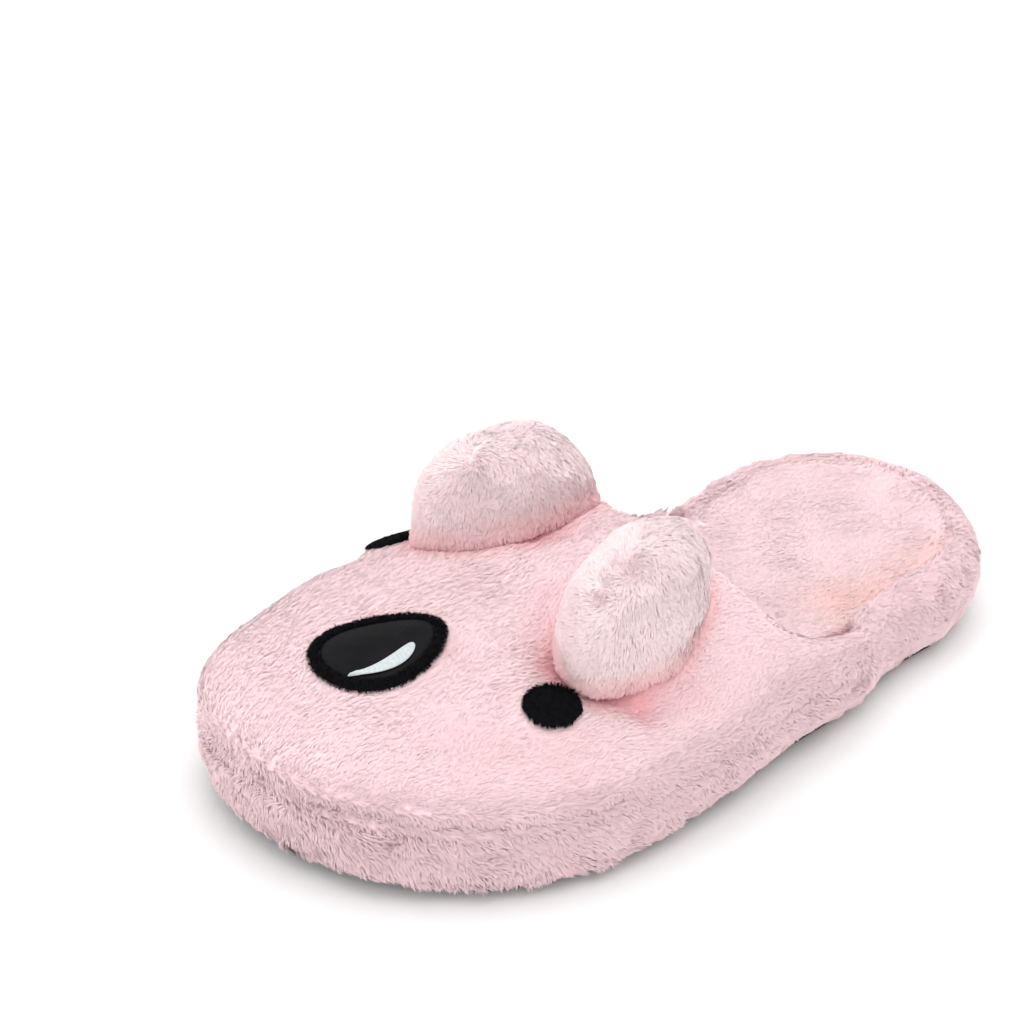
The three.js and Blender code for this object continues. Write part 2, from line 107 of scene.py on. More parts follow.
class Side(Enum):
    """Which way a light lies from the slipper."""

    ABOVE = (0.0, 0.12, 1.0)
    TOE = (-0.45, -1.0, 0.6)
    LATERAL = (1.0, -0.45, 0.5)


@dataclass(frozen=True)
class Trough:
    """A soft crease in a cover, a ridge where its depth is below zero, or a line of painted shade.

    The route is drawn in plan, and everything is in millimetres. A line of painted shade takes the
    depth as its share of the painted crease-shade colour.
    """

    route: tuple[tuple[float, float], ...]
    width: float
    depth: float

    def depth_at(self, points: Points) -> np.ndarray:
        """How far each point is drawn in.

        Args:
            points: Places on a cover.

        Returns:
            A depth in metres for each point.
        """
        plan = points[:, :2]
        route = np.array(self.route) * MM
        nearest = np.full(len(points), np.inf)
        for start, end in zip(route[:-1], route[1:]):
            way = end - start
            share = np.clip((plan - start) @ way / (way @ way), 0, 1)
            away = np.linalg.norm(plan - start - share[:, None] * way, axis=1)
            nearest = np.minimum(nearest, away)
        return self.depth * MM * np.exp(-((nearest / (self.width * MM)) ** 2))


@dataclass(frozen=True)
class Ripple:
    """Smooth seeded noise in space, made of sine waves, mostly between -1 and 1."""

    size: float
    seed: int
    waves: int = 14

    def at(self, points: Points) -> np.ndarray:
        """Works out the noise.

        Args:
            points: The places.

        Returns:
            A value for each point.
        """
        rng = np.random.default_rng(self.seed)
        ways = unit(rng.normal(size=(self.waves, 3)))
        ways *= rng.uniform(0.6, 1.6, (self.waves, 1)) * (2 * math.pi / self.size)
        phases = rng.uniform(0, 2 * math.pi, self.waves)
        return np.sin(points @ ways.T + phases).sum(1) / math.sqrt(self.waves)

    def swirl_at(self, points: Points) -> Points:
        """Three such noises with seeds in a row, as a vector for each point."""
        return np.stack([Ripple(self.size, self.seed + k).at(points) for k in range(3)], 1)


@dataclass(frozen=True)
class Pile:
    """How a pile of hairs grows. Lengths are metres and leans are degrees from upright."""

    hairs: int
    length: float
    width: float
    root_lean: float = 64.0
    tip_lean: float = 81.0
    swing: float = 4.0
    roll: float = 0.3
    tuft: float = 2.2 * MM
    gather: float = 0.15
    scatter: float = 0.35
    shade_spread: float = 0.09


@dataclass(frozen=True)
class PlushFinish:
    """Colours of a plush, in linear light, from the foot of its hairs to their tips, and two painted
    shades: one towards the floor below shade_height, one in creases, hollows and beside sewn-on pieces.
    """

    name: str
    root: tuple[float, float, float]
    tip: tuple[float, float, float]
    shade: tuple[float, float, float]
    flush: tuple[float, float, float]
    shade_height: float
    sheen: float = 0.04

    def build(self) -> Material:
        """Makes the material of the hairs and of the cloth that they grow from.

        Returns:
            The material.
        """
        material, tree, shader = plain_material(self.name)
        tone = add_group(tree, plush_group())
        tone.inputs["Root"].default_value = (*self.root, 1)
        tone.inputs["Tip"].default_value = (*self.tip, 1)
        # Painted shade: the shade colour towards the floor, and the crease colour in creases, hollows
        # and beside sewn-on pieces.
        tone.inputs["Shade"].default_value = (*self.shade, 1)
        tone.inputs["Flush"].default_value = (*self.flush, 1)
        tone.inputs["Shade Height"].default_value = self.shade_height
        tree.links.new(tone.outputs["Color"], shader.inputs["Base Color"])
        tree.links.new(tone.outputs["Normal"], shader.inputs["Normal"])
        shader.inputs["Roughness"].default_value = 0.95
        shader.inputs["Specular IOR Level"].default_value = 0.05
        shader.inputs["Sheen Weight"].default_value = self.sheen
        shader.inputs["Sheen Roughness"].default_value = 0.6
        shader.inputs["Sheen Tint"].default_value = (1.0, 0.93, 0.93, 1)
        return material


@dataclass(frozen=True)
class GrainFinish:
    """A smooth sheet with a fine grain, such as leather cloth or moulded rubber."""

    name: str
    colour: tuple[float, float, float]
    worn: tuple[float, float, float]
    roughness: float
    grain: float
    depth: float
    shine: float = 0.25

    def build(self) -> Material:
        """Makes the material.

        Returns:
            The material.
        """
        material, tree, shader = plain_material(self.name)
        grain = add_group(tree, grain_group())
        grain.inputs["Base"].default_value = (*self.colour, 1)
        grain.inputs["Worn"].default_value = (*self.worn, 1)
        grain.inputs["Scale"].default_value = 1 / self.grain
        grain.inputs["Depth"].default_value = self.depth
        grain.inputs["Roughness"].default_value = self.roughness
        tree.links.new(grain.outputs["Color"], shader.inputs["Base Color"])
        tree.links.new(grain.outputs["Roughness"], shader.inputs["Roughness"])
        tree.links.new(grain.outputs["Normal"], shader.inputs["Normal"])
        shader.inputs["Specular IOR Level"].default_value = self.shine
        return material


@dataclass(frozen=True)
class ThreadFinish:
    """Embroidery thread, with a colour that varies a little from thread to thread."""

    name: str
    dark: tuple[float, float, float]
    light: tuple[float, float, float]
    roughness: float
    shine: float

    def build(self) -> Material:
        """Makes the material.

        Returns:
            The material.
        """
        material, tree, shader = plain_material(self.name)
        tone = add_group(tree, thread_group())
        tone.inputs["Dark"].default_value = (*self.dark, 1)
        tone.inputs["Light"].default_value = (*self.light, 1)
        tree.links.new(tone.outputs["Color"], shader.inputs["Base Color"])
        tree.links.new(tone.outputs["Normal"], shader.inputs["Normal"])
        shader.inputs["Roughness"].default_value = self.roughness
        shader.inputs["Specular IOR Level"].default_value = self.shine
        return material


# In each plush, shade is painted shade that darkens towards the floor, and the last colour is painted
# crease shade for creases, hollows and the feet of sewn-on pieces.
PINK_PLUSH = PlushFinish(
    "pink_plush",
    root=(0.98, 0.69, 0.715),
    tip=(0.98, 0.74, 0.765),
    shade=(0.80, 0.57, 0.595),
    flush=(0.97, 0.47, 0.50),
    shade_height=0.056,
)
EAR_PLUSH = PlushFinish(
    "ear_plush",
    root=(0.99, 0.77, 0.78),
    tip=(0.99, 0.82, 0.83),
    shade=(0.98, 0.76, 0.77),
    flush=(0.97, 0.42, 0.45),
    shade_height=0.045,
)
LINING_PLUSH = PlushFinish(
    "lining_plush",
    root=(0.98, 0.70, 0.725),
    tip=(0.98, 0.74, 0.765),
    shade=(0.98, 0.68, 0.69),
    flush=(0.98, 0.60, 0.56),
    shade_height=0.022,
)
NOSE_LEATHER = GrainFinish(
    "nose_leather", (0.004, 0.004, 0.005), (0.009, 0.009, 0.010), 0.45, 0.9 * MM, 0.2, 0.07
)
SOLE_RUBBER = GrainFinish(
    "sole_rubber", (0.018, 0.018, 0.02), (0.06, 0.058, 0.056), 0.75, 1.6 * MM, 0.6
)
BLACK_THREAD = ThreadFinish("black_thread", (0.004, 0.004, 0.005), (0.011, 0.011, 0.012), 0.8, 0.06)
WHITE_THREAD = ThreadFinish("white_thread", (0.46, 0.50, 0.52), (0.58, 0.62, 0.64), 0.6, 0.15)


def plain_material(name: str) -> tuple[Material, NodeTree, bpy.types.Node]:
    """Makes a material that holds a Principled shader.

    Args:
        name: The material's name.

    Returns:
        The material, its node tree and its shader node.
    """
    material = bpy.data.materials.new(name)
    material.use_nodes = True
    tree = material.node_tree
    return material, tree, tree.nodes["Principled BSDF"]


def add_group(tree: NodeTree, group: NodeTree) -> bpy.types.Node:
    """Places a node group in a material's tree.

    Args:
        tree: The material's tree.
        group: The group.

    Returns:
        Its node.
    """
    node = tree.nodes.new("ShaderNodeGroup")
    node.node_tree = group
    return node


class Wiring:
    """Builds one shader node group, with short calls for its nodes and links."""

    def __init__(self, name: str) -> None:
        """Starts the group with its input and output nodes.

        Args:
            name: The group's name.
        """
        self.group = bpy.data.node_groups.new(name, "ShaderNodeTree")
        self.entry = self.group.nodes.new("NodeGroupInput")
        self.exit = self.group.nodes.new("NodeGroupOutput")

    def socket(self, name: str, kind: str, out: bool = False) -> None:
        """Adds a socket of the group.

        Args:
            name: Its name.
            kind: What it carries, such as Color or Float.
            out: Whether the group puts it out.
        """
        way = "OUTPUT" if out else "INPUT"
        self.group.interface.new_socket(name=name, in_out=way, socket_type=f"NodeSocket{kind}")

    def node(self, kind: str, **settings: object) -> bpy.types.Node:
        """Adds a node.

        Args:
            kind: Its type without the prefix.
            settings: Its properties.

        Returns:
            The node.
        """
        made = self.group.nodes.new(f"ShaderNode{kind}")
        for key, value in settings.items():
            setattr(made, key, value)
        return made

    def link(self, source: Socket, target: Socket) -> None:
        """Joins two sockets."""
        self.group.links.new(source, target)

    def attribute(self, name: str, output: str) -> Socket:
        """Reads an attribute of the mesh."""
        return self.node("Attribute", attribute_name=name).outputs[output]

    def noise(self, scale: float, detail: float = 2.0) -> Socket:
        """Adds noise in object space.

        Args:
            scale: Its scale per metre.
            detail: Its levels of detail.

        Returns:
            The noise's value.
        """
        noise = self.node("TexNoise")
        noise.inputs["Scale"].default_value = scale
        noise.inputs["Detail"].default_value = detail
        place = self.node("TexCoord")
        self.link(place.outputs["Object"], noise.inputs["Vector"])
        return noise.outputs["Fac"]

    def span(self, value: Socket, source: tuple[float, float], to: tuple[float, float]) -> Socket:
        """Maps a value from one span to another, held at its ends.

        Args:
            value: The value.
            source: The span that it comes from.
            to: The span that it goes to.

        Returns:
            The mapped value.
        """
        node = self.node("MapRange")
        node.inputs["From Min"].default_value, node.inputs["From Max"].default_value = source
        node.inputs["To Min"].default_value, node.inputs["To Max"].default_value = to
        self.link(value, node.inputs["Value"])
        return node.outputs["Result"]

    def mix(self, share: Socket, first: Socket, second: Socket) -> Socket:
        """Mixes two colours.

        Args:
            share: The share of the second.
            first: The first colour.
            second: The second colour.

        Returns:
            The mixed colour.
        """
        node = self.node("Mix", data_type="RGBA")
        self.link(share, node.inputs["Factor"])
        self.link(first, node.inputs["A"])
        self.link(second, node.inputs["B"])
        return node.outputs["Result"]

    def math(self, kind: str, first: Socket, second: Socket | float) -> Socket:
        """Puts two values through a Math node.

        Args:
            kind: What it works out.
            first: The first value.
            second: The second, as a socket or a number.

        Returns:
            The result.
        """
        node = self.node("Math", operation=kind)
        self.link(first, node.inputs[0])
        if isinstance(second, float):
            node.inputs[1].default_value = second
        else:
            self.link(second, node.inputs[1])
        return node.outputs[0]


def plush_group() -> NodeTree:
    """Colour of plush: by the place on the hair, by the tuft and by soft patches, with painted shade
    towards the floor and painted crease shade.

    Returns:
        The group, made at the first call.
    """
    if "Plush Tone" in bpy.data.node_groups:
        return bpy.data.node_groups["Plush Tone"]
    w = Wiring("Plush Tone")
    for name in ("Root", "Tip", "Shade", "Flush"):
        w.socket(name, "Color")
    w.socket("Shade Height", "Float")
    w.socket("Color", "Color", out=True)
    w.socket("Normal", "Vector", out=True)
    inputs = w.entry.outputs
    along = w.attribute("hair_place", "Fac")
    tuft = w.attribute("hair_tone", "Fac")
    patches = w.noise(55.0)
    by_tuft = w.span(tuft, (0, 1), (-0.3, 0.3))
    by_patch = w.span(patches, (0.3, 0.7), (-0.15, 0.15))
    share = w.math("ADD", along, w.math("ADD", by_tuft, by_patch))
    hair = w.mix(w.span(share, (0.0, 0.9), (0, 1)), inputs["Root"], inputs["Tip"])
    # Painted shade: darker towards the floor, below the shade height, and more so in some soft patches.
    place = w.node("TexCoord")
    height = w.node("SeparateXYZ")
    w.link(place.outputs["Object"], height.inputs["Vector"])
    level = w.math("DIVIDE", height.outputs["Z"], inputs["Shade Height"])
    low = w.span(level, (0.45, 1.0), (0.75, 0.0))
    patchy = w.span(patches, (0.35, 0.6), (1.0, 0.6))
    shaded = w.mix(w.math("MULTIPLY", low, patchy), hair, inputs["Shade"])
    # Painted crease shade, a deeper pink in creases, hollows and beside sewn-on pieces.
    flush = w.attribute("hair_crease_shade", "Fac")
    w.link(w.mix(flush, shaded, inputs["Flush"]), w.exit.inputs["Color"])
    w.link(w.attribute("soft_normal", "Vector"), w.exit.inputs["Normal"])
    return w.group


def thread_group() -> NodeTree:
    """Colour of embroidery thread, from thread to thread.

    Returns:
        The group, made at the first call.
    """
    if "Thread Tone" in bpy.data.node_groups:
        return bpy.data.node_groups["Thread Tone"]
    w = Wiring("Thread Tone")
    w.socket("Dark", "Color")
    w.socket("Light", "Color")
    w.socket("Color", "Color", out=True)
    w.socket("Normal", "Vector", out=True)
    thread = w.attribute("hair_tone", "Fac")
    tone = w.math("MULTIPLY", thread, w.span(w.noise(900.0), (0.3, 0.7), (0.4, 1.0)))
    w.link(w.mix(tone, w.entry.outputs["Dark"], w.entry.outputs["Light"]), w.exit.inputs["Color"])
    bump = w.node("Bump")
    bump.inputs["Strength"].default_value = 0.3
    bump.inputs["Distance"].default_value = 0.1 * MM
    w.link(w.noise(2500.0), bump.inputs["Height"])
    w.link(w.attribute("soft_normal", "Vector"), bump.inputs["Normal"])
    w.link(bump.outputs["Normal"], w.exit.inputs["Normal"])
    return w.group


def grain_group() -> NodeTree:
    """A pebbled grain with worn patches.

    Returns:
        The group, made at the first call.
    """
    if "Grain" in bpy.data.node_groups:
        return bpy.data.node_groups["Grain"]
    w = Wiring("Grain")
    for name in ("Base", "Worn"):
        w.socket(name, "Color")
    for name in ("Scale", "Depth", "Roughness"):
        w.socket(name, "Float")
    for name, kind in (("Color", "Color"), ("Roughness", "Float"), ("Normal", "Vector")):
        w.socket(name, kind, out=True)
    inputs = w.entry.outputs
    place = w.node("TexCoord")
    cells = w.node("TexVoronoi", feature="SMOOTH_F1")
    w.link(place.outputs["Object"], cells.inputs["Vector"])
    w.link(inputs["Scale"], cells.inputs["Scale"])
    patches = w.span(w.noise(120.0, 4.0), (0.35, 0.75), (0.0, 1.0))
    w.link(w.mix(patches, inputs["Base"], inputs["Worn"]), w.exit.inputs["Color"])
    rough = w.math("ADD", inputs["Roughness"], w.span(patches, (0, 1), (-0.06, 0.1)))
    w.link(rough, w.exit.inputs["Roughness"])
    bump = w.node("Bump")
    bump.inputs["Distance"].default_value = 0.15 * MM
    w.link(inputs["Depth"], bump.inputs["Strength"])
    w.link(cells.outputs["Distance"], bump.inputs["Height"])
    w.link(bump.outputs["Normal"], w.exit.inputs["Normal"])
    return w.group


def place_object(name: str, mesh: Mesh, material: Material) -> bpy.types.Object:
    """Links a finished mesh as a piece that rides on the slipper.

    Args:
        name: The piece's name.
        mesh: Its mesh, in the row frame.
        material: The piece's material.

    Returns:
        The new object.
    """
    made = bpy.data.objects.new(name, mesh)
    bpy.context.scene.collection.objects.link(made)
    mesh.materials.clear()
    mesh.materials.append(material)
    mesh.shade_smooth()
    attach(made, "root")
    report(made)
    return made


def merged_copy(node: str) -> Mesh:
    """A copy of a CAD node's mesh with its doubled vertices merged.

    Args:
        node: The CAD node.

    Returns:
        The copy.
    """
    form = bmesh.new()
    form.from_mesh(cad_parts[node].data)
    bmesh.ops.remove_doubles(form, verts=form.verts, dist=WELD)
    mesh = bpy.data.meshes.new(node + "_copy")
    form.to_mesh(mesh)
    form.free()
    return mesh


def modified(mesh: Mesh, *modifiers: tuple[str, dict[str, object]]) -> Mesh:
    """Puts a mesh through a row of modifiers.

    Args:
        mesh: The mesh to start from, which is removed.
        modifiers: The type of each modifier and its settings.

    Returns:
        The new mesh.
    """
    bench = bpy.data.objects.new("bench", mesh)
    bpy.context.scene.collection.objects.link(bench)
    for kind, settings in modifiers:
        modifier = bench.modifiers.new(kind, kind)
        for key, value in settings.items():
            setattr(modifier, key, value)
    made = bpy.data.meshes.new_from_object(
        bench.evaluated_get(bpy.context.evaluated_depsgraph_get())
    )
    bpy.data.objects.remove(bench)
    bpy.data.meshes.remove(mesh)
    return made


def tree_of(*nodes: str) -> BVHTree:
    """A search tree over the solids of some CAD nodes.

    Args:
        nodes: The CAD nodes.

    Returns:
        The tree.
    """
    points: list[Vector] = []
    faces: list[list[int]] = []
    for node in nodes:
        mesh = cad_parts[node].data
        first = len(points)
        points += [v.co.copy() for v in mesh.vertices]
        faces += [[first + i for i in p.vertices] for p in mesh.polygons]
    return BVHTree.FromPolygons(points, faces)


def distances(points: Points, tree: BVHTree, reach: float) -> np.ndarray:
    """The distance of each point from a tree's surface, below zero inside it.

    Args:
        points: The places to measure from.
        tree: The surface.
        reach: The furthest distance that matters.

    Returns:
        Distances of at most reach.
    """
    found = np.full(len(points), reach)
    for i, point in enumerate(points):
        place, normal, _, away = tree.find_nearest(point, reach)
        if place is None:
            continue
        inside = (Vector(point) - place).dot(normal) < 0
        found[i] = -away if inside else away
    return found


@dataclass
class Surface:
    """The points, normals and triangles of a mesh as arrays."""

    points: Points
    normals: Points
    triangles: np.ndarray

    @classmethod
    def of(cls, mesh: Mesh) -> "Surface":
        """Reads a mesh.

        Args:
            mesh: The mesh.

        Returns:
            Its arrays.
        """
        points = np.empty(len(mesh.vertices) * 3, np.float32)
        mesh.vertices.foreach_get("co", points)
        normals = np.empty(len(mesh.vertices) * 3, np.float32)
        mesh.vertex_normals.foreach_get("vector", normals)
        mesh.calc_loop_triangles()
        triangles = np.empty(len(mesh.loop_triangles) * 3, np.int32)
        mesh.loop_triangles.foreach_get("vertices", triangles)
        return cls(
            points.reshape(-1, 3).astype(float),
            normals.reshape(-1, 3).astype(float),
            triangles.reshape(-1, 3),
        )


def write_points(mesh: Mesh, points: Points) -> None:
    """Moves a mesh's vertices."""
    mesh.vertices.foreach_set("co", points.astype(np.float32).ravel())
    mesh.update()


def write_attribute(mesh: Mesh, name: str, values: np.ndarray) -> None:
    """Writes a value or a vector for each vertex of a mesh.

    Args:
        mesh: The mesh.
        name: The attribute's name.
        values: One row for each vertex.
    """
    kind, key = ("FLOAT", "value") if values.ndim == 1 else ("FLOAT_VECTOR", "vector")
    attribute = mesh.attributes.new(name, kind, "POINT")
    attribute.data.foreach_set(key, values.astype(np.float32).ravel())


@dataclass
class Cover:
    """The cloth of a soft solid: a fine copy of a CAD node that is drawn in and creased.

    Near a neighbouring solid it is drawn in less, so that the pieces stay together there, and it
    is puffed out along the grooves to the solids that it is joined to.
    """

    node: str
    neighbours: tuple[str, ...]
    slot: str
    voxel: float
    inset: float
    troughs: tuple[Trough, ...] = ()
    # Painted crease shade: along listed lines, beside the listed solids, and out to this reach from
    # them.
    shade_lines: tuple[Trough, ...] = ()
    shaded_beside: tuple[str, ...] = ()
    wave: float = 0.0
    lumps: float = 0.0
    fill: float = 0.8
    joined_to: tuple[str, ...] = ()
    puff: float = 0.0
    shade_reach: float = 3.6 * MM
    lined: Rule | None = None
    flush: np.ndarray = field(init=False)
    surface: Surface = field(init=False)
    near: np.ndarray = field(init=False)
    joint: np.ndarray = field(init=False)
    object: bpy.types.Object = field(init=False)

    def build(self, material: Material) -> None:
        """Makes the cover and hides the solid that it stands for.

        Args:
            material: The cover's material.
        """
        mesh = modified(
            merged_copy(self.node),
            ("REMESH", {"mode": "VOXEL", "voxel_size": self.voxel}),
            ("SMOOTH", {"factor": 0.5, "iterations": 3}),
        )
        start = Surface.of(mesh)
        self.near = distances(start.points, tree_of(*self.neighbours), REACH)
        self.joint = self.grooves(start.points)
        upwards = ease(start.normals[:, 2], -0.3, 0.3)
        creased = sum(trough.depth_at(start.points) for trough in self.troughs) * upwards
        depth = self.drawn_in(start, creased)
        write_points(mesh, start.points - start.normals * depth[:, None])
        # Painted crease shade in the creases, beside sewn-on pieces and along lines of painted shade.
        self.flush = self.crease_shaded(start.points, creased)
        self.surface = Surface.of(mesh)
        write_attribute(mesh, "hair_place", np.full(len(start.points), 0.3))
        write_attribute(mesh, "hair_tone", np.full(len(start.points), 0.5))
        write_attribute(mesh, "hair_crease_shade", self.flush)
        write_attribute(mesh, "soft_normal", self.surface.normals)
        self.object = place_object(self.node + "_cover", mesh, material)
        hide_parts(self.node)

    def grooves(self, points: Points) -> np.ndarray:
        """Finds the grooves towards joined solids, which on the vamp's seam end before its wings.

        Args:
            points: Places on the cover.

        Returns:
            One for a point in a groove, and zero away from it.
        """
        wing_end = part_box("upper")[1].y
        joint = np.zeros(len(points))
        for node in self.joined_to:
            groove = 1 - ease(distances(points, tree_of(node), REACH), *GROOVE)
            if "upper" in (node, self.node):
                start, end = (wing_end - before for before in WING_FADE)
                groove = groove * (1 - ease(points[:, 1], start, end))
            joint = np.maximum(joint, groove)
        return joint

    def drawn_in(self, start: Surface, creased: np.ndarray) -> np.ndarray:
        """Works out how far the cover is drawn in.

        Args:
            start: The cover before that.
            creased: The depth of its creases.

        Returns:
            A depth for each point.
        """
        free = ease(self.near, *SEATED)
        low = 1 - 0.75 * ease(start.points[:, 2], *LOWER_PART)
        uneven = self.wave * Ripple(WAVE_SIZE, 5).at(start.points)
        uneven = uneven + self.lumps * Ripple(LUMP_SIZE, 6).at(start.points) * low
        depth = self.inset * free + creased + uneven * free - self.puff * self.joint
        if self.lined is not None:
            depth = depth * ease(self.lined(start.points, start.normals), 0.2, 0.9)
        return np.minimum(depth, DEEPEST)

    def crease_shaded(self, points: Points, creased: np.ndarray) -> np.ndarray:
        """Works out the share of painted crease shade: in creases, beside sewn-on pieces and on painted
        shade lines.

        Args:
            points: Places on the cover.
            creased: The depth of its creases.

        Returns:
            The share of the painted crease-shade colour at each point.
        """
        flush = np.clip(creased / CREASE_SHADE_DEPTH, 0, 0.5)
        if self.shaded_beside:
            beside = np.maximum(distances(points, tree_of(*self.shaded_beside), REACH), 0)
            flush = flush + BESIDE_SHADE_SHARE * np.exp(-((beside / self.shade_reach) ** 2))
        for shade_line in self.shade_lines:
            flush = flush + shade_line.depth_at(points) / MM
        return np.clip(flush, 0, 1)

    def grow(
        self,
        name: str,
        pile: Pile,
        material: Material,
        comb: Rule,
        density: Rule,
        length: Rule,
        seed: int,
    ) -> None:
        """Grows a pile on the cover, none where a neighbour hides it.

        Args:
            name: The piece's name.
            pile: How the hairs grow.
            material: The hairs' material.
            comb: The way that hairs lean at each place.
            density: The share of the full density at each place.
            length: The share of the full length at each place.
            seed: The seed of all draws.
        """
        shown = ease(self.near, *BARE)
        rng = np.random.default_rng(seed)
        density_there = shown * density(self.surface.points, self.surface.normals)
        roots, normals, share = scattered(self.surface, density_there, pile.hairs, rng)
        stretch = length(roots, normals) * (1 + 0.3 * self.joint[share])
        mesh = hairs(name, roots, normals, comb(roots, normals), stretch, pile, rng)
        # The hairs take their cover's painted crease shade.
        write_attribute(mesh, "hair_crease_shade", np.repeat(self.flush[share], 4))
        place_object(name, mesh, material)


def scattered(
    surface: Surface, density: np.ndarray, count: int, rng: np.random.Generator
) -> tuple[Points, Points, np.ndarray]:
    """Scatters hair roots over a surface.

    Args:
        surface: Where they go.
        density: The relative density at each vertex.
        count: How many roots.
        rng: The source of the draws.

    Returns:
        The roots, the surface's normals there and the index of a vertex beside each.
    """
    a, b, c = (surface.points[surface.triangles[:, k]] for k in range(3))
    area = np.linalg.norm(np.cross(b - a, c - a), axis=1) / 2
    chance = area * density[surface.triangles].mean(1)
    chosen = rng.choice(len(area), count, p=chance / chance.sum())
    u, v = rng.random((2, count))
    fold = u + v > 1
    u[fold], v[fold] = 1 - u[fold], 1 - v[fold]
    weights = np.stack([1 - u - v, u, v], 1)[:, :, None]
    corners = surface.triangles[chosen]
    roots = (surface.points[corners] * weights).sum(1)
    normals = unit((surface.normals[corners] * weights).sum(1))
    return roots, normals, corners[:, 0]


def nearest_tuft(roots: Points, count: int, rng: np.random.Generator) -> np.ndarray:
    """Picks some hairs as the middles of tufts, and finds each hair's own.

    Args:
        roots: The hairs' roots.
        count: How many tufts.
        rng: The source of the draws.

    Returns:
        For each hair the index of its tuft's middle hair.
    """
    middles = rng.choice(len(roots), count, replace=False)
    tree = KDTree(count)
    for i, root in zip(middles, roots[middles]):
        tree.insert(root, int(i))
    tree.balance()
    return np.array([tree.find(root)[1] for root in roots])


def hairs(
    name: str,
    roots: Points,
    normals: Points,
    comb: Points,
    stretch: np.ndarray,
    pile: Pile,
    rng: np.random.Generator,
) -> Mesh:
    """Makes the mesh of a pile: one bent leaf of two triangles for each hair.

    Args:
        name: The mesh's name.
        roots: Where the hairs start.
        normals: The surface's normals there.
        comb: The ways that they lean.
        stretch: The shares of the full length.
        pile: How they grow.
        rng: The source of the draws.

    Returns:
        The mesh, with each hair's place, tone and soft normal as attributes.
    """
    count = len(roots)
    spread = np.ptp(roots, axis=0)
    area = 2 * (spread[0] * spread[1] + spread[1] * spread[2] + spread[0] * spread[2])
    tuft = nearest_tuft(roots, max(8, min(count // 4, int(area / pile.tuft**2))), rng)
    own = rng.normal(size=(count, 3))
    shared = rng.normal(size=(count, 3))[tuft]
    way = comb + pile.scatter * (0.45 * unit(own) + 0.9 * unit(shared))
    way = way - normals * (way * normals).sum(1, keepdims=True)
    flow = 0.5 + 0.5 * ease(np.linalg.norm(way, axis=1), 0.1, 0.5)
    way = unit(way)
    reach = pile.length * stretch * rng.uniform(0.75, 1.1, count)
    reach = reach * (0.92 + 0.16 * rng.random(count)[tuft])

    def leaning(angle: float, swing: float) -> Points:
        """The direction of a hair at a lean, which is less where the comb has no clear way."""
        lean = np.radians(angle * flow + rng.normal(0, swing, count) + rng.normal(0, swing, count)[tuft])
        return normals * np.cos(lean)[:, None] + way * np.sin(lean)[:, None]

    foot = 0.45 * reach[:, None] * leaning(pile.root_lean, pile.swing)
    whole = foot + 0.55 * reach[:, None] * leaning(pile.tip_lean, pile.swing)
    gather = (pile.gather * rng.uniform(0.5, 1.3, count))[:, None]
    tip = (roots + whole) * (1 - gather) + (roots + whole)[tuft] * gather
    middle = (roots + foot) * (1 - 0.4 * gather) + (roots + foot)[tuft] * 0.4 * gather
    axis = unit(tip - roots)
    side = unit(np.cross(axis, normals) + 1e-9)
    roll = rng.normal(0, pile.roll, count)[:, None]
    side = side * np.cos(roll) + np.cross(axis, side) * np.sin(roll)
    half = 0.5 * pile.width * rng.uniform(0.7, 1.25, (count, 1)) * side
    base = roots - ROOTED * normals
    corners = np.stack([base, middle - half, middle + half, tip], 1)
    corners[:, :, 2] = np.maximum(corners[:, :, 2], LOWEST)

    first = 4 * np.arange(count)[:, None]
    faces = np.concatenate([first + (0, 1, 2), first + (1, 3, 2)], 1).reshape(-1)
    mesh = bpy.data.meshes.new(name)
    mesh.vertices.add(4 * count)
    mesh.vertices.foreach_set("co", corners.astype(np.float32).ravel())
    mesh.loops.add(6 * count)
    mesh.loops.foreach_set("vertex_index", faces.astype(np.int32))
    mesh.polygons.add(2 * count)
    mesh.polygons.foreach_set("loop_start", np.arange(0, 6 * count, 3, dtype=np.int32))
    mesh.update(calc_edges=True)

    place = np.tile([0.0, 0.55, 0.55, 1.0], count)
    tone = np.clip(0.5 + 0.22 * rng.normal(size=count)[tuft] + 0.12 * rng.normal(size=count), 0, 1)
    lean = shared - normals * (shared * normals).sum(1, keepdims=True)
    soft = unit(normals + pile.shade_spread * (0.5 * unit(lean) + 0.35 * unit(own) + 0.4 * way))
    write_attribute(mesh, "hair_place", place)
    write_attribute(mesh, "hair_tone", np.repeat(tone, 4))
    write_attribute(mesh, "soft_normal", np.repeat(soft, 4, axis=0))
    layer = mesh.uv_layers.new(name=BAKE_MAP)
    chart = np.stack([np.repeat(0.02 + 0.96 * tone, 4), 0.02 + 0.96 * place], 1)
    layer.uv.foreach_set("vector", chart[faces].astype(np.float32).ravel())
    mesh.shade_smooth()
    mesh.normals_split_custom_set_from_vertices(np.repeat(soft, 4, axis=0))
    return mesh


